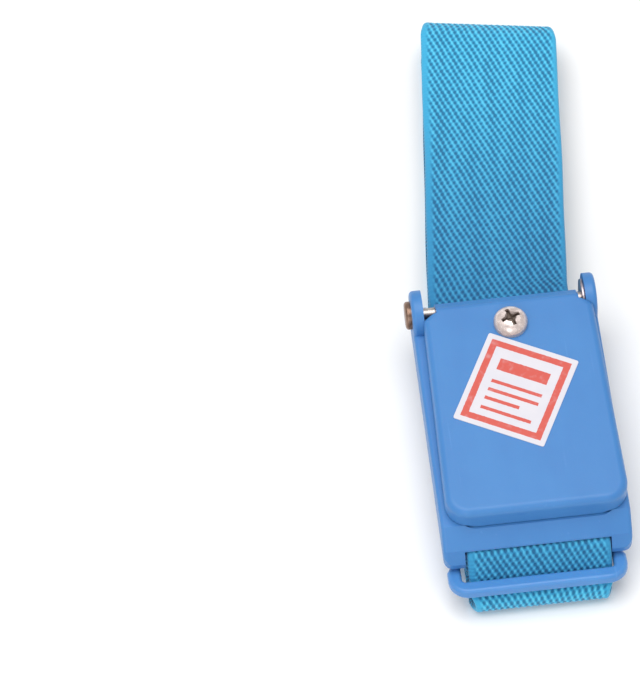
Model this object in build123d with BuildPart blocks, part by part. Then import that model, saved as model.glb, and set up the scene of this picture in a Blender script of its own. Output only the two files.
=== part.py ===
"""Cordless anti-static wrist strap, closed and laid flat with its housing on top.

Millimetres, +Z up, +Y from the slider end to the hinge end, origin under the housing on the resting plane.
"""

import math
import os
from build123d import *

os.makedirs("parts", exist_ok=True)

# band
band_w = 21.0
band_t = 1.2
yarn_count = 10
yarn_pitch = 1.88
yarn_w = 0.9
yarn_t = 0.12
kink = math.radians(5.8)
kink_y = 24.0
kink_r = 26.0

# housing heights and lengths
under_z = 6.4
floor_t = 1.2
floor_z = under_z + floor_t
half_w = 13.8
flank_r = 0.6
near_y = -20.2
slot_y = -19.0
slot_z = under_z + 3.0
hood_z = under_z + 5.0
wall_z = under_z + 5.5
face_z = under_z + 9.0
inner_x = 11.2
ledge_z = under_z + 4.4
recess_near = -15.4
recess_far = 16.4
hood_near = -16.7
plan_r = 1.4
slot_x = 10.7

# hinge
pin_y = 19.85
pin_z = under_z + 5.7
pin_r = 0.85
ear_r = 3.6
ear_x = 12.1
barrel_r = 1.25
cam_r = 2.6
lid_x = 12.65
lid_near_x = 13.35
skirt_x = 12.3
skirt_z = wall_z + 0.2
skirt_far_y = 15.4
lid_barrel_x = 10.6
lid_side = 0.4
lid_corner_r = 3.4
lid_gap = 0.3
ear_gap = 0.2
lid_near_y = -16.4
lid_far_y = 19.25
lid_chamfer_y = 16.9
plate_t = 1.3
plate_z = face_z - plate_t
lid_wall = 1.2
lid_edge_r = 1.1
pin_head_r = 2.1
washer_r = 2.8
washer_t = 0.45
stake_x = 2.2
stake_y = -0.8

# screw and label on the lid
screw_y = 14.7
screw_head_r = 2.5
screw_r = 1.25
label_w = 14.0
label_l = 15.4
label_turn = -27.5

# strap bar
lip_near_y = -19.2
lip_far_y = -16.9
lip_r = floor_t / 2

# slider
slider_w = 26.2
slider_side = -0.3
slider_window = 22.2
slider_l = 14.0
slider_t = 1.7
bar_w = 1.9
outer_bar_w = 2.2
slider_tilt = 15.0
slider_y = -17.75
slider_z = 4.05
pitch = (slider_l - outer_bar_w) / 2

# band stations
tray_z = floor_z + 1.0
cap_l = 11.0
cap_y = -11.5
fold_r = 4.2
fold_y = 71.4
bend_r = 2.21
bend_y = -22.99


def side_shift(y):
    """Sideways place of the band at y: nothing up to kink_y, then a short arc, then a straight lean."""
    run = y - kink_y
    reach = kink_r * math.sin(kink)
    if run <= 0:
        return 0.0
    if run <= reach:
        return kink_r - math.sqrt(kink_r**2 - run**2)
    return kink_r * (1 - math.cos(kink)) + (run - reach) * math.tan(kink)


def side_lean(y):
    """Slope of side_shift at y, as an angle."""
    run = y - kink_y
    if run <= 0:
        return 0.0
    return min(math.asin(min(run / kink_r, 1.0)), kink)


def arc_points(cy, cz, r, start, end, count):
    """Points on a circle in the side view, from one angle to another in degrees, ends included."""
    steps = [start + (end - start) * i / (count - 1) for i in range(count)]
    return [(cy + r * math.cos(math.radians(a)), cz + r * math.sin(math.radians(a))) for a in steps]


def line_points(a, b, count):
    """Evenly spaced points between a and b, both ends left out."""
    return [
        (a[0] + (b[0] - a[0]) * i / (count + 1), a[1] + (b[1] - a[1]) * i / (count + 1))
        for i in range(1, count + 1)
    ]


def stations(path):
    """One plane per point of a side-view path, square to it, its x direction across the band."""
    planes = []
    for i, (y, z) in enumerate(path):
        before = path[max(i - 1, 0)]
        after = path[min(i + 1, len(path) - 1)]
        lean = side_lean(y)
        across = Vector(math.cos(lean), -math.sin(lean), 0)
        along_y = after[0] - before[0]
        along_z = after[1] - before[1]
        size = math.hypot(along_y, along_z)
        level = Vector(math.sin(lean), math.cos(lean), 0) * (along_y / size)
        direction = level + Vector(0, 0, along_z / size)
        planes.append(Plane(origin=(side_shift(y), y, z), x_dir=across, z_dir=direction))
    return planes


# the loop, from the capped end in the tray out of the mouth, round the far fold, back underneath,
# round the near bend, under the slider's bar, in through the slot and round the strap bar
half_t = band_t / 2
far_top = 2 * fold_r - half_t
upper = [(cap_y + 0.6, tray_z), (0.0, tray_z), (12.0, tray_z), (22.0, tray_z), (24.0, tray_z - 0.02)]
upper += [(y, tray_z + (far_top - tray_z) * (y - 24.0) / (fold_y - 24.0)) for y in (25.5, 27, 30, 40, 50, 60)]
far_fold = arc_points(fold_y, fold_r, fold_r - half_t, 90, -90, 13)
lower = [(y, half_t) for y in (60, 50, 40, 30, 27, 25.5, 24, 14, 4, -6, -14)]
near_bend = arc_points(bend_y, bend_r, bend_r - half_t, -90, -260, 12)
bar_c = (
    slider_y - pitch * math.cos(math.radians(slider_tilt)),
    slider_z + pitch * math.sin(math.radians(slider_tilt)),
)
wrap = (lip_far_y - lip_r, floor_z - lip_r)
wrap_r = lip_r + 0.1 + half_t
round_bar = arc_points(bar_c[0], bar_c[1], 1.85, -74, -37, 4)
over_lip = arc_points(lip_near_y + lip_r, wrap[1], wrap_r, 143, 90, 5)
round_lip = arc_points(wrap[0], wrap[1], wrap_r, 90, -50, 9)
loop_path = upper + far_fold + lower + near_bend + round_bar + over_lip + round_lip

with BuildPart() as elastic_band:
    for station in stations(loop_path):
        with BuildSketch(station):
            Rectangle(band_w, band_t)
    loft(ruled=True)
elastic_band.part.label = "elastic_band"

# conductive stripes on the inner face, from the mouth round to the near bend
yarn_path = loop_path[3 : len(upper) + len(far_fold) + len(lower)]
yarn_side = half_t + yarn_t / 2
yarns = []
for i in range(yarn_count):
    shift = (i - (yarn_count - 1) / 2) * yarn_pitch
    with BuildPart() as stripe:
        for station in stations(yarn_path):
            with BuildSketch(station):
                with Locations((shift, yarn_side)):
                    Rectangle(yarn_w, yarn_t)
        loft(ruled=True)
    yarns.append(stripe.part.solid())
with BuildPart() as conductive_yarns:
    add(yarns)
conductive_yarns.part.label = "conductive_yarns"

# sewn end: round the slider's centre bar
coil_r = 1.74
lead = arc_points(wrap[0], wrap[1], wrap_r + 0.04, -63, -82, 3)
coil = arc_points(slider_y, slider_z - 0.1, coil_r, 86, 300, 18)
tail_a = (coil[-1][0] + 0.87, coil[-1][1] + 0.5)
tail_b = (coil[-1][0] + 1.74, coil[-1][1] + 1.0)
sewn_path = lead + coil + [tail_a, tail_b]
with BuildPart() as band_sewn_end:
    for station in stations(sewn_path):
        with BuildSketch(station):
            Rectangle(band_w, band_t)
    loft(ruled=True)
band_sewn_end.part.label = "band_sewn_end"

# metal cap folded over the free end
cap_t = 0.4
with BuildPart() as end_tip:
    with Locations((0, cap_y + cap_l / 2, tray_z)):
        Box(22.0, cap_l, band_t + 2 * cap_t)
    fillet(end_tip.edges().filter_by(Axis.X).group_by(Axis.Y)[0], 0.7)
    with Locations((0, cap_y + 0.6 + cap_l / 2, tray_z)):
        Box(band_w, cap_l, band_t, mode=Mode.SUBTRACT)
end_tip.part.label = "end_tip"

# base tray
ear_c = (pin_y, pin_z)
with BuildPart() as base_tray:
    with BuildSketch(Plane.YZ):
        with BuildLine():
            Polyline(
                (near_y, under_z),
                (near_y, under_z + 1.0),
                (slot_y, slot_z),
                (-16.2, wall_z),
                (pin_y - ear_r, wall_z),
                (pin_y - 2.6, pin_z + 1.2),
                (pin_y + 3.2, pin_z - 1.6),
                (22.4, under_z),
                close=True,
            )
        make_face()
        with Locations(ear_c):
            Circle(ear_r)
    extrude(amount=half_w, both=True)
    # every edge of both flanks, then the plan corners at the slot end
    fillet(base_tray.faces().filter_by(Axis.X).edges(), flank_r)
    with BuildSketch() as plan:
        with Locations((0, near_y + 30)):
            Rectangle(2 * half_w, 60)
        fillet(plan.vertices().group_by(Axis.Y)[0], plan_r)
    extrude(amount=30, mode=Mode.INTERSECT)
    # tray, lid recess and the space between the ears
    with BuildSketch(Plane.XY.offset(floor_z)):
        with Locations((0, 5.0)):
            Rectangle(2 * inner_x, 40.4)
    extrude(amount=20, mode=Mode.SUBTRACT)
    for cut_z, cut_near in ((ledge_z, recess_near), (hood_z, hood_near)):
        with BuildSketch(Plane.XY.offset(cut_z)) as lid_outline:
            with Locations((lid_side, (recess_far + hood_near) / 2)):
                Rectangle(2 * (skirt_x + lid_gap), recess_far - hood_near)
            fillet(lid_outline.vertices().group_by(Axis.Y)[0], lid_corner_r + lid_gap)
            with Locations((lid_side, (recess_far + cut_near) / 2)):
                Rectangle(3 * lid_x, recess_far - cut_near, mode=Mode.INTERSECT)
        extrude(amount=20, mode=Mode.SUBTRACT)
    with BuildSketch(Plane.XY.offset(floor_z + 1.4)):
        with Locations((0, 22.0)):
            Rectangle(2 * ear_x, 11.2)
    extrude(amount=20, mode=Mode.SUBTRACT)
    # strap pocket: slot, throat above the strap bar, opening behind it
    with BuildSketch(Plane.YZ):
        with BuildLine():
            Polyline(
                (near_y - 1, under_z - 1),
                (near_y - 1, 9.2),
                (slot_y - 0.3, slot_z - 0.2),
                (slot_y + 0.3, slot_z - 0.25),
                (-17.6, slot_z - 0.15),
                (-15.6, slot_z + 0.8),
                (-14.8, slot_z + 0.8),
                (-14.8, under_z - 1),
                close=True,
            )
        make_face()
    extrude(amount=slot_x, both=True, mode=Mode.SUBTRACT)
    # strap bar across the pocket
    with BuildSketch(Plane.YZ):
        with Locations(((lip_near_y + lip_far_y) / 2, floor_z - lip_r)):
            SlotOverall(lip_far_y - lip_near_y, 2 * lip_r)
    extrude(amount=slot_x + 0.4, both=True)
    # pin holes
    with BuildSketch(Plane.YZ.offset(-20)):
        with Locations(ear_c):
            Circle(pin_r)
    extrude(amount=40, mode=Mode.SUBTRACT)
base_tray.part.label = "base_tray"

# lid
with BuildPart() as lid_cover:
    # skirt between the base's walls, then the box that widens over them towards the slot end
    with BuildSketch(Plane.XY.offset(ledge_z + 0.2)) as skirt:
        with Locations((0, (lid_near_y + skirt_far_y) / 2)):
            Rectangle(2 * skirt_x, skirt_far_y - lid_near_y)
        fillet(skirt.vertices().group_by(Axis.Y)[0], lid_corner_r)
    extrude(amount=skirt_z - ledge_z - 0.2)
    with BuildSketch(Plane.XY.offset(skirt_z)) as box_plan:
        with BuildLine():
            Polyline(
                (-lid_near_x, lid_near_y),
                (lid_near_x, lid_near_y),
                (lid_x, lid_chamfer_y),
                (lid_barrel_x, lid_far_y),
                (-lid_barrel_x, lid_far_y),
                (-lid_x, lid_chamfer_y),
                close=True,
            )
        make_face()
        fillet(box_plan.vertices().group_by(Axis.Y)[0], lid_corner_r)
    extrude(amount=face_z - skirt_z)
    fillet(lid_cover.faces().sort_by(Axis.Z)[-1].edges(), lid_edge_r)
    # room for the ears at both ends of the barrel
    for side in (-1, 1):
        with BuildSketch(Plane.YZ.offset(side * lid_barrel_x)):
            with Locations(ear_c):
                Circle(ear_r + ear_gap)
        extrude(amount=side * 4, mode=Mode.SUBTRACT)
    # near wall stops above the hood
    with Locations((0, lid_near_y - 1, ledge_z + 0.2 + 0.3)):
        Box(30, 5.0, 0.6 + 0.001, mode=Mode.SUBTRACT)
    with BuildSketch(Plane.XY.offset(ledge_z)):
        with Locations((0, -0.2)):
            Rectangle(2 * (skirt_x - lid_wall), 30.0)
        with Locations((0, 16.0)):
            Rectangle(2 * (lid_barrel_x - lid_wall), 3.6)
    extrude(amount=plate_z - ledge_z, mode=Mode.SUBTRACT)
    # hinge barrel with its gripping cam
    with BuildSketch(Plane.YZ):
        with Locations(ear_c):
            Circle(barrel_r)
        with BuildLine():
            Polyline(
                (17.8, plate_z),
                (18.4, plate_z + 0.4),
                (19.0, plate_z + 0.3),
                (pin_y + barrel_r * math.cos(0.72), pin_z + barrel_r * math.sin(0.72)),
                (pin_y + barrel_r, pin_z),
                (pin_y + 1.15, pin_z - 1.6),
                (pin_y + 0.55, pin_z - 2.5),
                (pin_y - 0.55, pin_z - 2.5),
                (pin_y - 1.2, pin_z - 2.25),
                (pin_y - 2.1, pin_z - 1.2),
                (17.8, pin_z - 0.9),
                close=True,
            )
        make_face()
    extrude(amount=lid_barrel_x, both=True)
    with BuildSketch(Plane.YZ.offset(-20)):
        with Locations(ear_c):
            Circle(pin_r + 0.05)
    extrude(amount=40, mode=Mode.SUBTRACT)
    # screw hole
    with Locations((0, screw_y, face_z)):
        Cylinder(screw_r + 0.1, 10, mode=Mode.SUBTRACT)
    # stakes that hold the contact leaf, and two stiffening ribs
    with BuildSketch(Plane.XY.offset(plate_z)):
        with Locations((-stake_x, stake_y), (stake_x, stake_y)):
            Circle(0.8)
    extrude(amount=-0.4)
    with BuildSketch(Plane.XY.offset(plate_z - 0.3)):
        with Locations((-stake_x, stake_y), (stake_x, stake_y)):
            Circle(1.3)
    extrude(amount=-0.6)
    with Locations((-9.0, 1.0, plate_z - 0.5), (9.0, 1.0, plate_z - 0.5)):
        Box(0.8, 28.0, 1.0)
lid_cover.part.label = "lid_cover"

# hinge pin and its washer
with BuildPart() as hinge_pin:
    with BuildSketch(Plane.YZ.offset(-half_w)):
        with Locations(ear_c):
            Circle(pin_r)
    extrude(amount=2 * half_w - 0.1)
    with BuildSketch(Plane.YZ.offset(-half_w)):
        with Locations(ear_c):
            Circle(pin_head_r)
    extrude(amount=-0.9)
    fillet(hinge_pin.faces().sort_by(Axis.X)[0].edges(), 0.45)
hinge_pin.part.label = "hinge_pin"

with BuildPart() as pin_washer:
    with BuildSketch(Plane.YZ.offset(ear_x)):
        with Locations(ear_c):
            Circle(washer_r)
            Circle(pin_r, mode=Mode.SUBTRACT)
    extrude(amount=-washer_t)
    fillet(pin_washer.edges().filter_by(GeomType.CIRCLE).group_by(SortBy.RADIUS)[-1], 0.15)
pin_washer.part.label = "pin_washer"

# ground screw, tag, washer and nut
with BuildPart() as ground_screw:
    with BuildSketch(Plane.XZ) as screw_half:
        with BuildLine():
            Polyline((0, 0), (screw_head_r, 0), (screw_head_r, 0.75))
            ThreePointArc((screw_head_r, 0.75), (0.7 * screw_head_r, 1.65), (0, 2.0))
            Line((0, 2.0), (0, 0))
        make_face()
    revolve(axis=Axis.Z)
    with BuildSketch():
        Circle(screw_r)
    extrude(amount=-4.6)
    chamfer(ground_screw.faces().sort_by(Axis.Z)[0].edges(), 0.3)
    with Locations((0, 0, 1.6)):
        Box(2.9, 0.62, 1.4, rotation=(0, 0, 20), mode=Mode.SUBTRACT)
        Box(0.62, 2.9, 1.4, rotation=(0, 0, 20), mode=Mode.SUBTRACT)
    with Locations((0, 0, 1.45)):
        Cone(0.35, 0.95, 1.5, mode=Mode.SUBTRACT)
ground_screw.part.label = "ground_screw"
ground_screw.part.locate(Location((0, screw_y, face_z)))

with BuildPart() as solder_tag:
    with BuildSketch(Plane.XY.offset(plate_z)):
        with Locations((0, screw_y)):
            Circle(2.4)
        with Locations((0, 12.0)):
            Rectangle(2.2, 4.4)
        with Locations((0, screw_y)):
            Circle(1.3, mode=Mode.SUBTRACT)
        with Locations((0, 10.9)):
            Circle(0.45, mode=Mode.SUBTRACT)
    extrude(amount=-0.4)
solder_tag.part.label = "solder_tag"

with BuildPart() as lock_washer:
    with BuildSketch(Plane.XY.offset(plate_z - 0.4)):
        with Locations((0, screw_y)):
            Circle(2.2)
            Circle(1.3, mode=Mode.SUBTRACT)
        with Locations((1.8, screw_y)):
            Rectangle(1.4, 0.35, mode=Mode.SUBTRACT)
    extrude(amount=-0.5)
lock_washer.part.label = "lock_washer"

with BuildPart() as screw_nut:
    with BuildSketch(Plane.XY.offset(plate_z - 0.9)):
        with Locations((0, screw_y)):
            RegularPolygon(2.5, 6, major_radius=False)
            Circle(screw_r, mode=Mode.SUBTRACT)
    extrude(amount=-1.8)
screw_nut.part.label = "screw_nut"

# sprung contact that bears on the capped end
leaf_t = 0.3
leaf_z = plate_z - leaf_t / 2
cap_top = tray_z + half_t + cap_t
with BuildPart() as contact_leaf:
    with BuildSketch(Plane.YZ):
        with BuildLine() as leaf_line:
            Polyline(
                (3.6, leaf_z),
                (-3.2, leaf_z),
                (-4.4, leaf_z - 0.5),
                (-7.6, cap_top + 0.55),
                (-8.2, cap_top + 0.32),
                (-8.8, cap_top + 0.5),
                (-9.8, cap_top + 1.3),
            )
            offset(amount=leaf_t / 2, side=Side.BOTH)
        make_face()
    extrude(amount=3.6, both=True)
    with BuildSketch(Plane.XY.offset(plate_z - 1)):
        with Locations((-stake_x, stake_y), (stake_x, stake_y)):
            Circle(0.85)
    extrude(amount=2, mode=Mode.SUBTRACT)
contact_leaf.part.label = "contact_leaf"

# one-megohm resistor and its leads
res_x = -6.6
res_z = plate_z - 1.5
with BuildPart() as series_resistor:
    with BuildSketch(Plane.XZ.offset(-9.0)):
        with Locations((res_x, res_z)):
            Circle(1.15)
    extrude(amount=6.0)
    fillet(series_resistor.edges().filter_by(GeomType.CIRCLE), 0.5)
series_resistor.part.label = "series_resistor"

lead_r = 0.3
with BuildPart() as resistor_leads:
    with BuildLine() as lead_a:
        FilletPolyline((res_x, 9.0, res_z), (res_x, 10.9, res_z), (-0.4, 10.9, plate_z - 0.4 - lead_r), radius=0.8)
    with BuildSketch(Plane.XZ.offset(-9.0)):
        with Locations((res_x, res_z)):
            Circle(lead_r)
    sweep(path=lead_a.wires()[0])
    with BuildLine() as lead_b:
        FilletPolyline((res_x, 3.0, res_z), (res_x, 1.9, res_z), (-2.6, 1.9, plate_z - leaf_t - lead_r), radius=0.8)
    with BuildSketch(Plane.XZ.offset(-3.0)):
        with Locations((res_x, res_z)):
            Circle(lead_r)
    sweep(path=lead_b.wires()[0])
resistor_leads.part.label = "resistor_leads"

# label stuck on the lid
with BuildPart() as label_sticker:
    with BuildSketch(Plane.XY.offset(face_z)):
        with Locations(Location((-0.7, 3.35, 0), (0, 0, label_turn))):
            RectangleRounded(label_w, label_l, 0.3)
    extrude(amount=0.12)
label_sticker.part.label = "label_sticker"

# slider: two outer bars and a centre bar, pinched at the waist
slider_plane = Plane(
    origin=(0, slider_y, slider_z),
    x_dir=(1, 0, 0),
    z_dir=(0, math.sin(math.radians(slider_tilt)), math.cos(math.radians(slider_tilt))),
)
window = (slider_l - bar_w - 2 * outer_bar_w) / 2
with BuildPart() as slider:
    with BuildSketch(slider_plane):
        RectangleRounded(slider_w, slider_l, 3.0)
        with Locations((-slider_w / 2 - 4.0, 0), (slider_w / 2 + 4.0, 0)):
            Circle(4.75, mode=Mode.SUBTRACT)
        with Locations((0, -(window + bar_w) / 2), (0, (window + bar_w) / 2)):
            RectangleRounded(slider_window, window, 0.6, mode=Mode.SUBTRACT)
    extrude(amount=slider_t / 2, both=True)
    rim = slider.faces().filter_by(slider_plane).edges()
    fillet(rim, 0.6)
slider.part.label = "slider"

# crimp over the tail of the sewn end
tail = sewn_path[-1]
with BuildPart() as slider_end_crimp:
    with BuildSketch(Plane.YZ):
        with Locations(Location((tail[0] - 0.45, tail[1] - 0.26, 0), (0, 0, 30))):
            RectangleRounded(1.6, 1.9, 0.3)
    extrude(amount=10.5, both=True)
slider_end_crimp.part.label = "slider_end_crimp"
with BuildPart() as crimp_hollow:
    add(slider_end_crimp.part)
    add(band_sewn_end.part, mode=Mode.SUBTRACT)
slider_end_crimp = crimp_hollow
slider_end_crimp.part.label = "slider_end_crimp"

# the lid sits a little to one side on its pin, and the slider a little to the other
for piece in (lid_cover, ground_screw, solder_tag, lock_washer, screw_nut, contact_leaf, series_resistor):
    piece.part.locate(Location((lid_side, 0, 0)) * piece.part.location)
for piece in (resistor_leads, label_sticker):
    piece.part.locate(Location((lid_side, 0, 0)) * piece.part.location)
slider.part.locate(Location((slider_side, 0, 0)) * slider.part.location)

pieces = {
    "elastic_band": elastic_band,
    "conductive_yarns": conductive_yarns,
    "band_sewn_end": band_sewn_end,
    "end_tip": end_tip,
    "base_tray": base_tray,
    "lid_cover": lid_cover,
    "hinge_pin": hinge_pin,
    "pin_washer": pin_washer,
    "ground_screw": ground_screw,
    "solder_tag": solder_tag,
    "lock_washer": lock_washer,
    "screw_nut": screw_nut,
    "contact_leaf": contact_leaf,
    "series_resistor": series_resistor,
    "resistor_leads": resistor_leads,
    "label_sticker": label_sticker,
    "slider": slider,
    "slider_end_crimp": slider_end_crimp,
}
for name, piece in pieces.items():
    export_step(piece.part, f"parts/{name}.step")
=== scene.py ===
import bpy
import numpy as np
from mathutils import Matrix, Vector


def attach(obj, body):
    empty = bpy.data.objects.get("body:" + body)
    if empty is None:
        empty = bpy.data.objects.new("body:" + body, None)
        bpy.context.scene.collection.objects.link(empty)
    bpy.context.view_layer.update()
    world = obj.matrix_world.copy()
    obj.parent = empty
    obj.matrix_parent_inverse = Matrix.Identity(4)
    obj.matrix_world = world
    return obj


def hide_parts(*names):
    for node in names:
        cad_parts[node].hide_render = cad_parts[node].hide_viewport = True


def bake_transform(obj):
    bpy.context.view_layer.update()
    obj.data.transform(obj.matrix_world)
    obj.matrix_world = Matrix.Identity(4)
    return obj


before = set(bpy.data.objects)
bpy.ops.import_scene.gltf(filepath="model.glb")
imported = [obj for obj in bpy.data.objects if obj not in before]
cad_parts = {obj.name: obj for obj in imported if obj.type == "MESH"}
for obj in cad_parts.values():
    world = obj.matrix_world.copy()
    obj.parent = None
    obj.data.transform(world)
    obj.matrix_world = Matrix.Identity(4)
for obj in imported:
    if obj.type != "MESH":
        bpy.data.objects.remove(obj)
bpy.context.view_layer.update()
mm = 0.001
print("frame loaded,", len(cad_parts), "solids")


# camera, light and table

view = dict(
    azimuth=-4.0, elevation=59.0, roll=-2.66,  # degrees
    distance=0.60, aside=0.0297, below=0.0180,  # metres from the middle of the housing
    lens=213.2, sensor=36.0, clipStart=0.01, clipEnd=20.0,
)


def addCamera():
    # back runs from the object to the eye, level and over are square to it, and roll turns them about it
    a, e, r = np.radians([view["azimuth"], view["elevation"], view["roll"]])
    back = np.array([np.sin(a) * np.cos(e), -np.cos(a) * np.cos(e), np.sin(e)])
    level = np.array([np.cos(a), np.sin(a), 0.0])
    over = np.cross(back, level)
    right = level * np.cos(r) + over * np.sin(r)
    up = over * np.cos(r) - level * np.sin(r)
    data = bpy.data.cameras.new("camera")
    data.sensor_width = view["sensor"]
    data.lens = view["lens"]
    data.clip_start = view["clipStart"]
    data.clip_end = view["clipEnd"]
    camera = bpy.data.objects.new("camera", data)
    bpy.context.scene.collection.objects.link(camera)
    turn = np.eye(4)
    turn[:3, 0], turn[:3, 1], turn[:3, 2] = right, up, back
    turn[:3, 3] = back * view["distance"] - right * view["aside"] + up * view["below"]
    camera.matrix_world = Matrix(turn.tolist())
    bpy.context.scene.camera = camera


studio = dict(
    skyLight=0.60, aim=(0.0, 0.02, 0.0),
    tableHalf=3, tableColour=(0.94, 0.94, 0.94, 1), tableRoughness=0.8,
)
lamps = dict(
    topLamp=dict(place=(-0.08, 0.06, 0.75), size=0.66, power=3.8),
    nearLamp=dict(place=(-0.20, -0.60, 0.40), size=0.42, power=1.0),
)


def addLamp(name, place, size, power):
    # a round lamp turned so that its -Z runs from its place to the studio's aim
    data = bpy.data.lights.new(name, "AREA")
    data.shape = "DISK"
    data.size = size
    data.energy = power
    lamp = bpy.data.objects.new(name, data)
    bpy.context.scene.collection.objects.link(lamp)
    lamp.location = place
    aim = Vector(studio["aim"]) - Vector(place)
    lamp.rotation_euler = aim.to_track_quat("-Z", "Y").to_euler()


def addStudio():
    # a flat square table round the origin, an even white sky and the lamps
    mesh = bpy.data.meshes.new("table")
    half = studio["tableHalf"]
    corners = [(-half, -half, 0), (half, -half, 0), (half, half, 0), (-half, half, 0)]
    mesh.from_pydata(corners, [], [(0, 1, 2, 3)])
    table = bpy.data.objects.new("table", mesh)
    bpy.context.scene.collection.objects.link(table)
    paint = bpy.data.materials.new("paleTable")
    paint.use_nodes = True
    shader = paint.node_tree.nodes["Principled BSDF"]
    shader.inputs["Base Color"].default_value = studio["tableColour"]
    shader.inputs["Roughness"].default_value = studio["tableRoughness"]
    mesh.materials.append(paint)
    world = bpy.data.worlds.new("studio")
    world.use_nodes = True
    sky = world.node_tree.nodes["Background"]
    sky.inputs[0].default_value = (1, 1, 1, 1)
    sky.inputs[1].default_value = studio["skyLight"]
    bpy.context.scene.world = world
    for name, lamp in lamps.items():
        addLamp(name, **lamp)
    bpy.context.scene.view_settings.view_transform = "Standard"


addCamera()
addStudio()
print("camera, lamps and table set")


# meshes from whole arrays

def meshPiece(name, points, faceGroups):
    # points in mm; a face group is an array with one column for each corner of its faces
    # the last group is shaded flat
    mesh = bpy.data.meshes.new(name)
    mesh.vertices.add(len(points))
    mesh.vertices.foreach_set("co", (points * mm).astype(np.float32).ravel())
    sizes = np.concatenate([np.full(len(g), g.shape[1]) for g in faceGroups])
    corners = np.concatenate([g.ravel() for g in faceGroups])
    mesh.loops.add(len(corners))
    mesh.loops.foreach_set("vertex_index", corners.astype(np.int32))
    mesh.polygons.add(len(sizes))
    mesh.polygons.foreach_set("loop_start", (np.cumsum(sizes) - sizes).astype(np.int32))
    mesh.polygons.foreach_set("use_smooth", np.arange(len(sizes)) < len(sizes) - len(faceGroups[-1]))
    mesh.update(calc_edges=True)
    piece = bpy.data.objects.new(name, mesh)
    bpy.context.scene.collection.objects.link(piece)
    return piece


def tubeFaces(rows, columns, first=0):
    # quads between one ring of points and the next, every ring closed on itself
    r, c = np.meshgrid(np.arange(rows - 1), np.arange(columns), indexing="ij")
    a = first + r * columns + c
    b = first + r * columns + (c + 1) % columns
    return np.stack([a, b, b + columns, a + columns], -1).reshape(-1, 4)


def endFan(ring, middle, flip):
    # triangles from a ring of point numbers to one middle point
    pair = np.stack([ring, np.roll(ring, -1)], 1)
    if flip:
        pair = pair[:, ::-1]
    return np.column_stack([pair, np.full(len(ring), middle)])


def closedTube(rings):
    # rings is rows x columns x 3; a fan of triangles to the middle of the ring closes each end
    rows, columns = rings.shape[:2]
    points = np.concatenate([rings.reshape(-1, 3), [rings[0].mean(0)], [rings[-1].mean(0)]])
    ring = np.arange(columns)
    middle = rows * columns
    fans = [endFan(ring, middle, True), endFan(ring + middle - columns, middle + 1, False)]
    return points, [tubeFaces(rows, columns), np.concatenate(fans)]


def pointValues(piece, name, values):
    # one number or one vector kept with every point of a piece
    kind = "FLOAT_VECTOR" if values.ndim == 2 else "FLOAT"
    attribute = piece.data.attributes.new(name, kind, "POINT")
    attribute.data.foreach_set("vector" if values.ndim == 2 else "value", values.astype(np.float32).ravel())


def arcLine(cy, cz, r, start, end, count):
    # centre plus radius times cosine and sine of an angle that runs evenly from start to end degrees
    a = np.radians(np.linspace(start, end, count))
    return np.stack([cy + r * np.cos(a), cz + r * np.sin(a)], 1)


# the band's line through the buckle, in mm, seen from the side

band = dict(
    width=21.0, thick=1.2, trayZ=8.6, tableZ=0.6, capEnd=-10.9, mouth=24.0, kinkRadius=26.0, kink=5.8,
    foldSkew=0.067, skewFrom=30.0, skewTo=72.0,
    slopeReach=0.12, leastStep=1e-6,
)
bandGrid = dict(row=0.2225, outer=121, inner=21, turn=7)  # mm between rows, points round the outline
waver = dict(slow=0.06, slowRun=7.3, quick=0.04, quickRun=3.1, quickStart=1.0)
farFold = dict(y=71.4, z=4.2, r=3.6)
nearBend = dict(y=-22.99, z=2.21, r=1.61)
nearBar = dict(y=-23.449, z=5.577, r=1.85)
lip = dict(near=-18.6, far=-17.5, z=7.0, r=1.3)
centreBar = dict(y=-17.75, z=3.95, r=1.74)

runs = dict(
    tray=np.array([[band["capEnd"], band["trayZ"]], [band["mouth"], band["trayZ"]]]),
    over=np.array([[band["mouth"], band["trayZ"]], [farFold["y"], farFold["z"] + farFold["r"]]]),
    fold=arcLine(farFold["y"], farFold["z"], farFold["r"], 90, -90, 49),
    under=np.array([[20.0, band["tableZ"]]]),
    return_=np.array([[nearBend["y"], band["tableZ"]]]),
    bend=arcLine(nearBend["y"], nearBend["z"], nearBend["r"], -90, -260, 41),
    bar=arcLine(nearBar["y"], nearBar["z"], nearBar["r"], -74, -37, 9),
    overLip=arcLine(lip["near"], lip["z"], lip["r"], 143, 90, 15),
    lipTop=arcLine(lip["far"], lip["z"], lip["r"], 90, 60, 9),
    roundLip=arcLine(lip["far"], lip["z"], lip["r"], 60, -76, 31),
    coilTop=arcLine(centreBar["y"], centreBar["z"], centreBar["r"], 88, 96, 3),
    coil=arcLine(centreBar["y"], centreBar["z"], centreBar["r"], 96, 300, 49),
    tail=np.array([[-15.14, 3.44]]),
)


def loopLine():
    # all runs one after another, walked at even steps; marks give the length at which each run ends
    line = np.concatenate(list(runs.values()))
    along = np.concatenate([[0], np.cumsum(np.linalg.norm(np.diff(line, axis=0), axis=1))])
    keep = np.concatenate([[True], np.diff(along) > band["leastStep"]])
    marks = dict(zip(runs, along[np.cumsum([len(r) for r in runs.values()]) - 1]))
    return line[keep], along[keep], marks


loopPoints, loopLengths, loopMarks = loopLine()


def sideShift(y):
    # how far the band strays sideways, and its slope: nothing up to the mouth, then a short arc,
    # radius less the root of radius squared less run squared, then a straight line at the kink's angle
    kink = np.radians(band["kink"])
    run = np.clip(y - band["mouth"], 0, None)
    reach = band["kinkRadius"] * np.sin(kink)
    onArc = band["kinkRadius"] - np.sqrt(band["kinkRadius"] ** 2 - np.minimum(run, reach) ** 2)
    lean = np.arcsin(np.minimum(run, reach) / band["kinkRadius"])
    return onArc + np.maximum(run - reach, 0) * np.tan(kink), lean


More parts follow.
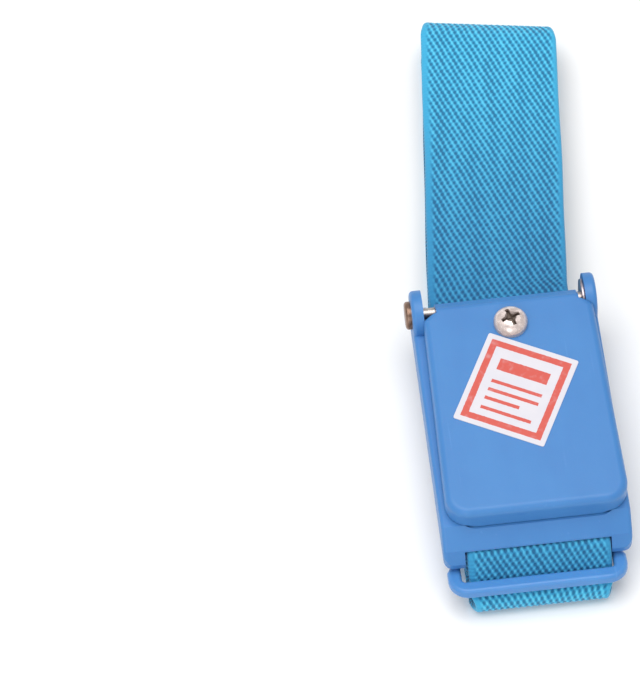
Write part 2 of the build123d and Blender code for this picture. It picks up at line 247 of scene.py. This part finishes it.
def bandFrame(s):
    # place, across and outward directions of the band's middle at length s; the direction of travel is
    # the change in place over a short reach, and outward is across crossed with it
    y = np.interp(s, loopLengths, loopPoints[:, 0])
    z = np.interp(s, loopLengths, loopPoints[:, 1])
    ahead, behind = s + band["slopeReach"], s - band["slopeReach"]
    dy = np.interp(ahead, loopLengths, loopPoints[:, 0]) - np.interp(behind, loopLengths, loopPoints[:, 0])
    dz = np.interp(ahead, loopLengths, loopPoints[:, 1]) - np.interp(behind, loopLengths, loopPoints[:, 1])
    size = np.hypot(dy, dz)
    dy, dz = dy / size, dz / size
    shift, lean = sideShift(y)
    place = np.stack([shift, y, z], 1)
    across = np.stack([np.cos(lean), -np.sin(lean), np.zeros_like(s)], 1)
    forward = np.stack([np.sin(lean) * dy, np.cos(lean) * dy, dz], 1)
    return place, across, np.cross(across, forward)


def onBand(s, u, lift):
    # points at length s, u to the side of the middle and lift off it
    # towards the far fold the left edge runs ahead, by a smooth step of y from none to full skew
    place, across, outward = bandFrame(s)
    points = place[:, None] + across[:, None] * u[..., None] + outward[:, None] * lift[..., None]
    far = np.clip((points[..., 1] - band["skewFrom"]) / (band["skewTo"] - band["skewFrom"]), 0, 1)
    points[..., 1] -= band["foldSkew"] * u * far * far * (3 - 2 * far)
    return points


def sway(s):
    # slow waver of the band's line to one side and the other, as the sum of two sines of the length
    slow = waver["slow"] * np.sin(s / waver["slowRun"])
    return slow + waver["quick"] * np.sin(s / waver["quickRun"] + waver["quickStart"])


# webbing

weave = dict(lineAcross=1.02, lineAlong=0.505, beadAcross=1.11, beadAlong=-1.0, lineShare=0.68, relief=0.13)
selvedge = dict(left=-9.55, right=9.85, ribPitch=0.58, relief=0.05, soft=0.35, softFar=0.45)
innerFace = dict(ribPitch=0.62, relief=0.05)


def twillHeight(u, s):
    # two slanting raised cosines added, so their crests meet as beads and their hollows as small pits
    line = 0.5 + 0.5 * np.cos(2 * np.pi * (u * weave["lineAcross"] + s * weave["lineAlong"]))
    bead = 0.5 + 0.5 * np.cos(2 * np.pi * (u * weave["beadAcross"] + s * weave["beadAlong"]))
    return weave["lineShare"] * line + (1 - weave["lineShare"]) * bead


def bandOutline():
    # the band's cut end: outer face left to right, round the right edge, inner face back, round the left edge
    halfW, halfT = band["width"] / 2, band["thick"] / 2
    flat = halfW - halfT
    outer = np.linspace(-flat, flat, bandGrid["outer"])
    inner = np.linspace(flat, -flat, bandGrid["inner"])
    turn = np.radians(np.linspace(90, -90, bandGrid["turn"])[1:-1])
    u = np.concatenate([outer, flat + halfT * np.cos(turn), inner, -flat - halfT * np.cos(turn)])
    h = np.concatenate([0 * outer + halfT, halfT * np.sin(turn), 0 * inner - halfT, -halfT * np.sin(turn)])
    facing = np.concatenate([0 * outer + 1, np.sin(turn), 0 * inner - 1, -np.sin(turn)])
    return u, h, facing


rolledEdge = dict(start=7.0, full=9.4, depth=0.8)  # the near bend's edges roll in and fill its hollow
drawIn = dict(far=0.7, farPower=1.5, near=0.7, nearPower=1.2)


def nearTurn(s):
    # zero outside the near bend, a half sine through it
    part = (s - loopMarks["return_"]) / (loopMarks["bend"] - loopMarks["return_"])
    return np.sin(np.pi * np.clip(part, 0, 1))


def narrowing(s):
    # how much each edge draws in where the band turns: a power of the half sine through each of the two turns
    part = (s - loopMarks["over"]) / (loopMarks["fold"] - loopMarks["over"])
    far = np.sin(np.pi * np.clip(part, 0, 1))
    return drawIn["far"] * far ** drawIn["farPower"] + drawIn["near"] * nearTurn(s) ** drawIn["nearPower"]


def webbingPiece(name, start, end):
    # the outline carried along the loop from length start to length end
    # a point's lift is its outline's height less the depth of the weave, the ribs and the rolled edge
    s = np.linspace(start, end, int(round((end - start) / bandGrid["row"])) + 1)
    u, h, facing = bandOutline()
    grid = s[:, None]
    squeeze = 1 - narrowing(grid) / (band["width"] / 2)
    outer = np.clip(facing, 0, 1) ** 2
    inner = np.clip(-facing, 0, 1)
    soft = selvedge["soft"]
    woven = np.clip((u - selvedge["left"]) / soft, 0, 1) * np.clip((selvedge["right"] - u) / soft, 0, 1)
    twill = (twillHeight(u[None], grid) - 1) * weave["relief"] * woven * outer
    ribs = (np.cos(2 * np.pi * grid / selvedge["ribPitch"]) - 1) * selvedge["relief"] / 2
    ribs = ribs * (1 - woven) * outer
    backRibs = (np.cos(2 * np.pi * grid / innerFace["ribPitch"]) - 1) * innerFace["relief"] / 2 * inner
    past = (np.abs(u) - rolledEdge["start"]) / (rolledEdge["full"] - rolledEdge["start"])
    rolled = np.clip(past, 0, 1) * inner
    lift = h[None] + twill + ribs - backRibs - rolled * rolledEdge["depth"] * np.sqrt(nearTurn(grid))
    rings = onBand(s, (u[None] + sway(grid)) * squeeze, lift)
    points, faces = closedTube(rings)
    piece = meshPiece(name, points, faces)
    cloth = np.stack(np.broadcast_arrays(u[None], grid, facing[None]), -1)
    cloth = np.concatenate([cloth.reshape(-1, 3), [[0, s[0], 0]], [[0, s[-1], 0]]])
    pointValues(piece, "cloth", cloth)
    return piece


strapOver = webbingPiece("strap_over", 0.0, loopMarks["under"])
strapUnder = webbingPiece("strap_under", loopMarks["under"], loopMarks["bend"])
strapThread = webbingPiece("strap_threaded", loopMarks["bend"], loopMarks["lipTop"])
strapLip = webbingPiece("strap_round_lip", loopMarks["lipTop"], loopMarks["coilTop"])
strapSewn = webbingPiece("strap_sewn_end", loopMarks["coilTop"], loopMarks["tail"])
webbing = [strapOver, strapUnder, strapThread, strapLip, strapSewn]
print("webbing:", sum(len(w.data.polygons) for w in webbing), "faces")


# silver yarns on the inner face

yarn = dict(
    count=10, pitch=1.88, halfWidth=0.33, halfThick=0.13, wave=0.24, period=1.1, sides=6, step=0.1375,
    drift=0.05, driftRun=2.7, swell=0.22, clear=0.02, startBack=1.0, endBack=8.0, seed=7,
)


def silverYarns():
    # each yarn zigzags across its own line as a sine of the length, an oval section laid flat on the band
    # the section swells and thins as a cosine of twice the zigzag's turn
    start = loopMarks["tray"] - yarn["startBack"]
    s = np.arange(start, loopMarks["return_"] - yarn["endBack"], yarn["step"])
    turn = np.linspace(0, 2 * np.pi, yarn["sides"], endpoint=False)
    rng = np.random.default_rng(yarn["seed"])
    points, faces, values = [], [], []
    first = 0
    for i in range(yarn["count"]):
        middle = (i - (yarn["count"] - 1) / 2) * yarn["pitch"]
        phase = rng.uniform(0, 2 * np.pi)
        beat = 2 * np.pi * s / yarn["period"] + phase
        u = middle + yarn["wave"] * np.sin(beat) + yarn["drift"] * np.sin(s / yarn["driftRun"] + phase)
        u = (u + sway(s)) * (1 - narrowing(s) / (band["width"] / 2))
        plump = 1 + yarn["swell"] * np.cos(2 * beat)
        side = u[:, None] + yarn["halfWidth"] * plump[:, None] * np.cos(turn)
        lift = -band["thick"] / 2 - yarn["clear"] - yarn["halfThick"] * plump[:, None] * np.sin(turn)
        tube, groups = closedTube(onBand(s, side, lift))
        points.append(tube)
        faces.append([g + first for g in groups])
        ends = np.zeros((2, 3))
        sideOf = np.broadcast_to(np.cos(turn)[None], side.shape)
        along = np.broadcast_to(s[:, None], side.shape)
        cloth = np.stack([sideOf, along, np.full(side.shape, i)], -1)
        values.append(np.concatenate([cloth.reshape(-1, 3), ends]))
        first += len(tube)
    quads = np.concatenate([f[0] for f in faces])
    fans = np.concatenate([f[1] for f in faces])
    piece = meshPiece("silver_yarns", np.concatenate(points), [quads, fans])
    pointValues(piece, "cloth", np.concatenate(values))
    return piece


silverYarnPiece = silverYarns()
print("silver yarns:", len(silverYarnPiece.data.polygons), "faces")


# material helpers

def screenColour(r, g, b):
    # a screen colour from 0 to 255 as linear light: below 0.04045 divided by 12.92, else the 2.4 power curve
    c = np.array([r, g, b]) / 255.0
    c = np.where(c <= 0.04045, c / 12.92, ((c + 0.055) / 1.055) ** 2.4)
    return (float(c[0]), float(c[1]), float(c[2]), 1.0)


def newFinish(name, **plain):
    # a material whose plain values go straight on the shader's own sockets
    finish = bpy.data.materials.new(name)
    finish.use_nodes = True
    shader = finish.node_tree.nodes["Principled BSDF"]
    for key, value in plain.items():
        shader.inputs[key.replace("_", " ")].default_value = value
    return finish, finish.node_tree, shader


def calc(tree, operation, *values):
    # one sum on plain numbers or sockets
    node = tree.nodes.new("ShaderNodeMath")
    node.operation = operation
    for socket, value in zip(node.inputs, values):
        if isinstance(value, (int, float)):
            socket.default_value = value
        else:
            tree.links.new(value, socket)
    return node.outputs[0]


def mixed(tree, amount, first, second):
    # a colour that goes from first to second
    node = tree.nodes.new("ShaderNodeMix")
    node.data_type = "RGBA"
    for socket, value in ((node.inputs[0], amount), (node.inputs[6], first), (node.inputs[7], second)):
        if isinstance(value, (int, float, tuple)):
            socket.default_value = value
        else:
            tree.links.new(value, socket)
    return node.outputs[2]


def dimmed(tree, amount, colour, tint):
    # a colour multiplied by a tint, in part or in full
    node = tree.nodes.new("ShaderNodeMix")
    node.data_type = "RGBA"
    node.blend_type = "MULTIPLY"
    tree.links.new(amount, node.inputs[0])
    tree.links.new(colour, node.inputs[6])
    node.inputs[7].default_value = tint
    return node.outputs[2]


def blended(tree, amount, first, second):
    # a number that goes from first to second
    return calc(tree, "MULTIPLY_ADD", amount, calc(tree, "SUBTRACT", second, first), first)


def step(tree, value, low, high, fromLow=0.0, toHigh=1.0):
    # a smooth step: fromLow up to low, toHigh past high, and 3t squared less 2t cubed between them
    node = tree.nodes.new("ShaderNodeMapRange")
    node.interpolation_type = "SMOOTHSTEP"
    tree.links.new(value, node.inputs[0])
    for i, v in zip((1, 2, 3, 4), (low, high, fromLow, toHigh)):
        node.inputs[i].default_value = v
    return node.outputs[0]


def wave(tree, value):
    # half plus half the cosine of value turns
    turned = calc(tree, "COSINE", calc(tree, "MULTIPLY", value, 2 * np.pi))
    return calc(tree, "MULTIPLY_ADD", turned, 0.5, 0.5)


def grain(tree, where, size, detail=3.0, stretch=(1, 1, 1)):
    # cloudy noise whose lumps are about size metres, or longer along an axis with a stretch below one
    move = tree.nodes.new("ShaderNodeMapping")
    move.inputs["Scale"].default_value = [s / size for s in stretch]
    tree.links.new(where, move.inputs["Vector"])
    node = tree.nodes.new("ShaderNodeTexNoise")
    node.inputs["Scale"].default_value = 1.0
    node.inputs["Detail"].default_value = detail
    tree.links.new(move.outputs[0], node.inputs["Vector"])
    return node.outputs["Fac"]


def objectPlace(tree):
    # the point's own place on the object, in metres
    return tree.nodes.new("ShaderNodeTexCoord").outputs["Object"]


def axesOf(tree, vector):
    # a vector's three parts
    parts = tree.nodes.new("ShaderNodeSeparateXYZ")
    tree.links.new(vector, parts.inputs[0])
    return parts.outputs[0], parts.outputs[1], parts.outputs[2]


def raised(tree, shader, height, distance, strength=1.0):
    # small relief: the shading normal leans with the slope of height times distance
    node = tree.nodes.new("ShaderNodeBump")
    node.inputs["Strength"].default_value = strength
    node.inputs["Distance"].default_value = distance
    tree.links.new(height, node.inputs["Height"])
    tree.links.new(node.outputs[0], shader.inputs["Normal"])


def toSocket(tree, value, shader, name):
    # a worked-out value goes on one of the shader's sockets
    tree.links.new(value, shader.inputs[name])


# webbing finish

webbingDye = dict(
    pit=screenColour(20, 116, 160),
    body=screenColour(46, 160, 206),
    crest=screenColour(86, 204, 240),
    edge=screenColour(56, 172, 216),
    back=screenColour(44, 142, 186),
    backDeep=screenColour(20, 96, 136),
    # the last tint is painted shade, multiplied in by the housing and where the band threads the slider
    paintedShadeTint=(0.40, 0.50, 0.64, 1.0),
)


# where along the band, in mm of length, the painted shade of the housing and the slider lies, and how strong
# it is
webbingPaintedShade = dict(deep=29.0, gone=84.0, share=0.90, threadedShare=0.62, before=1.0, after=1.5)
webbingLook = dict(
    roughness=0.78, sheen=0.15, sheenRoughness=0.5,
    wanderSize=2.2, wander=0.34,
    edgeBase=0.55, edgeRib=0.15, edgeTone=0.3,
    fleckSize=0.7, fleck=0.55, streakSize=1.6, streakLength=0.06, streak=0.35, toneDrop=0.45,
    pit=(0.16, 0.44), crest=(0.46, 0.92), back=(0.0, 0.9), backFleck=0.9, turnOver=(-0.35, 0.15),
    fleckHeight=0.25, relief=0.00020, reliefStrength=0.9,
)


def webbingFinish():
    # woven elastic: the sum of two slanting waves sets pit, body and crest colours on the outer face
    # edges and inner face are ribbed, and a deeper tint multiplied in by the housing and where the band
    # threads the slider is painted shade
    look = webbingLook
    finish, tree, shader = newFinish(
        "stretchWebbing", Roughness=look["roughness"], Sheen_Weight=look["sheen"],
        Sheen_Roughness=look["sheenRoughness"],
    )
    data = tree.nodes.new("ShaderNodeAttribute")
    data.attribute_name = "cloth"
    u, s, facing = axesOf(tree, data.outputs["Vector"])
    drift = grain(tree, data.outputs["Vector"], look["wanderSize"], 3.0)
    wander = calc(tree, "MULTIPLY_ADD", drift, look["wander"], -look["wander"] / 2)
    # outer face: two slanting waves whose crests meet as beads and whose hollows meet as pits
    lineAt = calc(tree, "MULTIPLY_ADD", u, weave["lineAcross"], calc(tree, "MULTIPLY", s, weave["lineAlong"]))
    line = wave(tree, calc(tree, "ADD", lineAt, wander))
    beadAt = calc(tree, "MULTIPLY_ADD", u, weave["beadAcross"], calc(tree, "MULTIPLY", s, weave["beadAlong"]))
    bead = wave(tree, calc(tree, "ADD", beadAt, wander))
    lineShare = calc(tree, "MULTIPLY", line, weave["lineShare"])
    twill = calc(tree, "MULTIPLY_ADD", bead, 1 - weave["lineShare"], lineShare)
    # edges: fine ribs square to the band
    rib = wave(tree, calc(tree, "DIVIDE", s, selvedge["ribPitch"]))
    left, right, soft, softFar = selvedge["left"], selvedge["right"], selvedge["soft"], selvedge["softFar"]
    wovenLeft = step(tree, u, left - soft, left + softFar)
    wovenRight = step(tree, u, right - softFar, right + soft, 1.0, 0.0)
    woven = calc(tree, "MULTIPLY", wovenLeft, wovenRight)
    edgeHeight = calc(tree, "MULTIPLY_ADD", rib, look["edgeRib"], look["edgeBase"])
    outerHeight = blended(tree, woven, edgeHeight, twill)
    # each bead has its own brightness, and long soft streaks run with the band
    fleck = grain(tree, data.outputs["Vector"], look["fleckSize"], 2.0)
    along = (1, look["streakLength"], 1)
    streak = grain(tree, data.outputs["Vector"], look["streakSize"], 2.0, stretch=along)
    streakTone = calc(tree, "MULTIPLY_ADD", streak, look["streak"], -look["toneDrop"])
    tone = calc(tree, "MULTIPLY_ADD", fleck, look["fleck"], streakTone)
    level = calc(tree, "ADD", twill, tone)
    colour = mixed(tree, step(tree, level, *look["pit"]), webbingDye["pit"], webbingDye["body"])
    colour = mixed(tree, step(tree, level, *look["crest"]), colour, webbingDye["crest"])
    edgeShare = calc(tree, "MULTIPLY", rib, look["edgeTone"])
    edgeTone = mixed(tree, edgeShare, webbingDye["edge"], webbingDye["body"])
    colour = mixed(tree, woven, edgeTone, colour)
    # slack webbing by the housing shows a deeper dye than the stretched run
    # painted shade: a deeper tint multiplied in under and by the housing, fading along the upper run, and
    # where the band threads the slider, standing in for the shadow of the housing and the slider
    shadeByHousing = step(tree, s, webbingPaintedShade["deep"], webbingPaintedShade["gone"], webbingPaintedShade["share"], 0.0)
    bendEnd = loopMarks["bend"]
    threadFrom, threadTo = bendEnd - webbingPaintedShade["before"], bendEnd + webbingPaintedShade["after"]
    threadedShade = step(tree, s, threadFrom, threadTo, 0.0, webbingPaintedShade["threadedShare"])
    paintedShade = calc(tree, "ADD", shadeByHousing, threadedShade)
    # painted shade: the colour is multiplied by the deeper tint
    colour = dimmed(tree, paintedShade, colour, webbingDye["paintedShadeTint"])
    # inner face: ribs square to the band
    backRib = wave(tree, calc(tree, "DIVIDE", calc(tree, "ADD", s, wander), innerFace["ribPitch"]))
    backFleck = calc(tree, "MULTIPLY_ADD", fleck, look["backFleck"], -look["backFleck"] / 2)
    backLevel = calc(tree, "ADD", backRib, backFleck)
    backColour = mixed(tree, step(tree, backLevel, *look["back"]), webbingDye["backDeep"], webbingDye["back"])
    outer = step(tree, facing, *look["turnOver"])
    toSocket(tree, mixed(tree, outer, backColour, colour), shader, "Base Color")
    outerLevel = calc(tree, "MULTIPLY_ADD", fleck, look["fleckHeight"], outerHeight)
    height = blended(tree, outer, backRib, outerLevel)
    raised(tree, shader, height, look["relief"], look["reliefStrength"])
    return finish


silverDye = dict(thread=screenColour(214, 216, 222), shade=screenColour(150, 146, 156))
silverLook = dict(roughness=0.42, metallic=0.35, twists=4.2, slant=0.35, cloud=1.3, relief=0.00006)


def silverYarnFinish():
    # silver thread, lighter along its twist, which is a cosine of the length and the turn round the yarn
    finish, tree, shader = newFinish(
        "silveredYarn", Roughness=silverLook["roughness"], Metallic=silverLook["metallic"]
    )
    data = tree.nodes.new("ShaderNodeAttribute")
    data.attribute_name = "cloth"
    sideOf, along, _ = axesOf(tree, data.outputs["Vector"])
    beat = calc(tree, "MULTIPLY", along, silverLook["twists"])
    twist = wave(tree, calc(tree, "MULTIPLY_ADD", sideOf, silverLook["slant"], beat))
    cloud = grain(tree, data.outputs["Vector"], silverLook["cloud"])
    tone = calc(tree, "MULTIPLY_ADD", cloud, 0.8, calc(tree, "MULTIPLY_ADD", twist, 0.3, -0.1))
    colour = mixed(tree, step(tree, tone, 0.1, 0.7), silverDye["shade"], silverDye["thread"])
    toSocket(tree, colour, shader, "Base Color")
    raised(tree, shader, twist, silverLook["relief"])
    return finish


webbingMaterial = webbingFinish()
for strap in webbing:
    strap.data.materials.append(webbingMaterial)
silverYarnPiece.data.materials.append(silverYarnFinish())


# moulded plastic

housingPlastic = dict(
    colour=screenColour(68, 131, 195), worn=screenColour(92, 150, 210), deep=screenColour(58, 118, 184),
)
sliderPlastic = dict(
    colour=screenColour(80, 142, 206), worn=screenColour(112, 168, 224), deep=screenColour(66, 126, 194),
)
crimpPlastic = dict(
    colour=screenColour(196, 200, 216), worn=screenColour(216, 218, 228), deep=screenColour(160, 166, 190),
)
plasticLook = dict(
    gloss=0.45, glowDepth=0.002, cloud=0.009, flow=0.004, flowLength=0.15, speck=0.0006,
    scratch=0.0007, scratchLength=0.05, scratchFrom=0.68, scratchTo=0.78, scratchShare=0.22,
    evenness=0.55, relief=0.000022,
)


def mouldedPlastic(name, tint, roughness, glow):
    # satin plastic: slow cloudy tone, faint flow lines, a fine skin and short hairline scratches
    look = plasticLook
    finish, tree, shader = newFinish(
        name, Specular_IOR_Level=look["gloss"], Subsurface_Weight=glow, Subsurface_Scale=look["glowDepth"]
    )
    place = objectPlace(tree)
    cloud = grain(tree, place, look["cloud"], 2.0)
    flow = grain(tree, place, look["flow"], 2.0, stretch=(1, look["flowLength"], 1))
    speck = grain(tree, place, look["speck"], 2.0)
    scratch = grain(tree, place, look["scratch"], 1.0, stretch=(1, look["scratchLength"], 1))
    tone = calc(tree, "MULTIPLY_ADD", cloud, 0.6, calc(tree, "MULTIPLY", flow, 0.4))
    colour = mixed(tree, step(tree, tone, 0.30, 0.70), tint["deep"], tint["colour"])
    colour = mixed(tree, look["evenness"], colour, tint["colour"])
    marks = step(tree, scratch, look["scratchFrom"], look["scratchTo"], 0.0, look["scratchShare"])
    colour = mixed(tree, marks, colour, tint["worn"])
    toSocket(tree, colour, shader, "Base Color")
    rough = calc(tree, "MULTIPLY_ADD", speck, 0.16, calc(tree, "MULTIPLY_ADD", cloud, 0.10, roughness - 0.13))
    toSocket(tree, rough, shader, "Roughness")
    height = calc(tree, "MULTIPLY_ADD", speck, 0.4, calc(tree, "MULTIPLY", cloud, 1.2))
    raised(tree, shader, height, look["relief"])
    return finish


# metal

metalLook = dict(
    lump=0.0012, brush=0.00025, relief=0.00002,
    brownEdge=0.0001, browned=(0.50, 0.36, 0.29, 1.0),
)


def turnedMetal(name, colour, dark, roughness, stretch=(1, 1, 1), brownedPast=None):
    # plated metal: cloudy tarnish and fine brush marks in its colour, gloss and height
    # left of brownedPast, in metres, its colour is multiplied by a brown tint
    finish, tree, shader = newFinish(name, Metallic=1.0)
    place = objectPlace(tree)
    cloud = grain(tree, place, metalLook["lump"], 3.0)
    brush = grain(tree, place, metalLook["brush"], 2.0, stretch=stretch)
    tone = calc(tree, "MULTIPLY_ADD", cloud, 0.7, calc(tree, "MULTIPLY", brush, 0.3))
    base = mixed(tree, step(tree, tone, 0.30, 0.62), dark, colour)
    if brownedPast is not None:
        edge = metalLook["brownEdge"]
        browned = step(tree, axesOf(tree, place)[0], brownedPast - edge, brownedPast + edge, 1.0, 0.0)
        base = dimmed(tree, browned, base, metalLook["browned"])
    toSocket(tree, base, shader, "Base Color")
    toSocket(tree, calc(tree, "MULTIPLY_ADD", cloud, 0.25, roughness - 0.12), shader, "Roughness")
    raised(tree, shader, brush, metalLook["relief"])
    return finish


screw = dict(
    x=0.4, y=14.7, top=17.4, domeFall=0.114, recess=1.6,  # mm, and mm of fall for each square mm outwards
    recessSoft=(0.9, 1.2), rim=(3.6e-6, 6.2e-6), rimShare=0.55, dirtDepth=(0.00008, 0.0006), dirtCloud=0.0006,
    metallic=0.45, cloudSize=0.0009, speckSize=0.0003,
    plate=screenColour(248, 232, 226), tarnish=screenColour(206, 190, 184), dirt=screenColour(118, 104, 94),
)


def screwMetal():
    # plated pan head, dark with dirt wherever it lies below the dome inside the cross recess
    # the dome is the top less domeFall times the squared distance out from the screw's middle
    finish, tree, shader = newFinish("screwNickel", Metallic=screw["metallic"])
    place = objectPlace(tree)
    x, y, z = axesOf(tree, place)
    x = calc(tree, "SUBTRACT", x, screw["x"] * mm)
    y = calc(tree, "SUBTRACT", y, screw["y"] * mm)
    out = calc(tree, "ADD", calc(tree, "MULTIPLY", x, x), calc(tree, "MULTIPLY", y, y))
    dome = calc(tree, "MULTIPLY_ADD", out, -screw["domeFall"] / mm, screw["top"] * mm)
    depth = calc(tree, "SUBTRACT", dome, z)
    cloud = grain(tree, place, screw["cloudSize"], 3.0)
    edge = screw["recess"] ** 2 * mm * mm
    inRecess = step(tree, out, edge * screw["recessSoft"][0], edge * screw["recessSoft"][1], 1.0, 0.0)
    shallower = calc(tree, "ADD", depth, -screw["dirtCloud"] / 2)
    patchy = calc(tree, "MULTIPLY_ADD", cloud, screw["dirtCloud"], shallower)
    dirt = calc(tree, "MULTIPLY", step(tree, patchy, *screw["dirtDepth"]), inRecess)
    rim = step(tree, out, *screw["rim"], 0.0, screw["rimShare"])
    tone = mixed(tree, step(tree, cloud, 0.30, 0.65), screw["tarnish"], screw["plate"])
    tone = mixed(tree, calc(tree, "MULTIPLY", rim, cloud), tone, screw["dirt"])
    toSocket(tree, mixed(tree, dirt, tone, screw["dirt"]), shader, "Base Color")
    rough = calc(tree, "MULTIPLY_ADD", dirt, 0.35, calc(tree, "MULTIPLY_ADD", cloud, 0.25, 0.14))
    toSocket(tree, rough, shader, "Roughness")
    raised(tree, shader, grain(tree, place, screw["speckSize"], 2.0), metalLook["relief"])
    return finish


def assign(node, finish):
    # the finish goes on every slot of a solid that stays as it is
    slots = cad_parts[node].data.materials
    if not len(slots):
        slots.append(finish)
    for i in range(len(slots)):
        slots[i] = finish


label = dict(
    x=-0.3, y=3.35, turn=-27.5, frameX=5.7, frameY=6.4, line=1.0, inkSoft=0.04, fray=0.12,
    bars=[
        (0, 3.2, 3.9, 1.0), (0, 0.2, 3.9, 0.28), (0, -1.3, 3.9, 0.28),
        (-1.2, -2.8, 2.7, 0.28), (0, -4.5, 3.9, 0.28),
    ],  # middle and half sizes, in mm on the sticker
    paper=screenColour(222, 217, 222), paperShade=screenColour(206, 206, 216), ink=screenColour(206, 82, 70),
)


def labelFinish():
    # white vinyl with a plain printed red frame and bars, square to the sticker
    finish, tree, shader = newFinish("printedVinyl", Roughness=0.38, Specular_IOR_Level=0.5)
    place = objectPlace(tree)
    turn = tree.nodes.new("ShaderNodeMapping")
    turn.vector_type = "TEXTURE"
    turn.inputs["Location"].default_value = (label["x"] * mm, label["y"] * mm, 0)
    turn.inputs["Rotation"].default_value = (0, 0, np.radians(label["turn"]))
    turn.inputs["Scale"].default_value = (mm, mm, mm)
    tree.links.new(place, turn.inputs["Vector"])
    x, y, _ = axesOf(tree, turn.outputs[0])
    soft = label["inkSoft"]
    inkEdge = grain(tree, place, 0.0004, 2.0)
    fray = calc(tree, "MULTIPLY_ADD", inkEdge, label["fray"], -label["fray"] / 2)

    def box(cx, cy, halfX, halfY):
        # larger of the two distances past a rectangle's sides, below zero inside it
        dx = calc(tree, "SUBTRACT", calc(tree, "ABSOLUTE", calc(tree, "SUBTRACT", x, cx)), halfX)
        dy = calc(tree, "SUBTRACT", calc(tree, "ABSOLUTE", calc(tree, "SUBTRACT", y, cy)), halfY)
        return calc(tree, "ADD", calc(tree, "MAXIMUM", dx, dy), fray)

    frameEdge = calc(tree, "ABSOLUTE", box(0, 0, label["frameX"], label["frameY"]))
    rim = calc(tree, "SUBTRACT", frameEdge, label["line"] / 2)
    ink = step(tree, rim, -soft, soft, 1.0, 0.0)
    for bar in label["bars"]:
        ink = calc(tree, "MAXIMUM", ink, step(tree, box(*bar), -soft, soft, 1.0, 0.0))
    fade = calc(tree, "MULTIPLY", ink, step(tree, grain(tree, place, 0.0011, 3.0), 0.1, 0.5, 0.72, 1.0))
    paper = mixed(tree, grain(tree, place, 0.003), label["paper"], label["paperShade"])
    toSocket(tree, mixed(tree, fade, paper, label["ink"]), shader, "Base Color")
    raised(tree, shader, grain(tree, place, 0.0016, 3.0), 0.00004)
    return finish


resistor = dict(
    body=screenColour(206, 178, 134), bodyShade=screenColour(184, 152, 108),
    roughness=0.28, ring=(0.26, 0.32),
    rings=[
        (4.1, screenColour(96, 56, 30)), (5.3, screenColour(26, 24, 26)),
        (6.5, screenColour(40, 132, 66)), (8.0, screenColour(184, 146, 60)),
    ],  # places along Y in mm
)


def resistorFinish():
    # glossy buff lacquer with the colour bands of a one-megohm part round it
    finish, tree, shader = newFinish("bandedLacquer", Roughness=resistor["roughness"])
    place = objectPlace(tree)
    y = calc(tree, "MULTIPLY", axesOf(tree, place)[1], 1 / mm)
    colour = mixed(tree, grain(tree, place, 0.0015), resistor["body"], resistor["bodyShade"])
    for at, tint in resistor["rings"]:
        away = calc(tree, "ABSOLUTE", calc(tree, "SUBTRACT", y, at))
        colour = mixed(tree, step(tree, away, *resistor["ring"], 1.0, 0.0), colour, tint)
    toSocket(tree, colour, shader, "Base Color")
    raised(tree, shader, grain(tree, place, 0.0009), 0.00005)
    return finish


housingBlue = mouldedPlastic("housingBlue", housingPlastic, 0.42, 0.08)
sliderBlue = mouldedPlastic("sliderBlue", sliderPlastic, 0.34, 0.12)
crimpPale = mouldedPlastic("crimpPale", crimpPlastic, 0.40, 0.10)
nickel = turnedMetal("capNickel", screenColour(214, 206, 194), screenColour(170, 160, 148), 0.30, (0.1, 1, 1))
washerPlain = turnedMetal("plainSteel", screenColour(176, 168, 160), screenColour(120, 110, 104), 0.38)
pinSteel = turnedMetal(
    "pinSteel", screenColour(214, 206, 200), screenColour(150, 136, 126), 0.40,
    stretch=(1, 0.2, 0.2), brownedPast=-0.0138,
)
washerSteel = turnedMetal("washerSteel", screenColour(214, 200, 202), screenColour(160, 148, 150), 0.34)
nutBrass = turnedMetal("nutBrass", screenColour(228, 210, 160), screenColour(176, 156, 104), 0.26)
tagTin = turnedMetal("tagTin", screenColour(216, 206, 178), screenColour(180, 166, 130), 0.34)
leafBronze = turnedMetal(
    "leafBronze", screenColour(212, 180, 124), screenColour(168, 132, 84), 0.30, stretch=(1, 0.1, 1)
)
leadTin = turnedMetal("leadTin", screenColour(210, 210, 208), screenColour(160, 160, 158), 0.30)

for node, finish in dict(
    base_tray=housingBlue, lid_cover=housingBlue,
    slider=sliderBlue, slider_end_crimp=crimpPale, end_tip=nickel,
    hinge_pin=pinSteel, pin_washer=washerSteel,
    ground_screw=screwMetal(), solder_tag=tagTin, lock_washer=washerPlain, screw_nut=nutBrass,
    contact_leaf=leafBronze, series_resistor=resistorFinish(), resistor_leads=leadTin,
    label_sticker=labelFinish(),
).items():
    assign(node, finish)
print("finishes made:", len(bpy.data.materials))


# what moves with what

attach(strapOver, "housing")
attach(strapSewn, "slider")
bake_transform(strapUnder)
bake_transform(silverYarnPiece)
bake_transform(strapThread)
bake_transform(strapLip)
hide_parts("elastic_band")
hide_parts("conductive_yarns")
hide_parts("band_sewn_end")
print("pieces tied to their bodies")
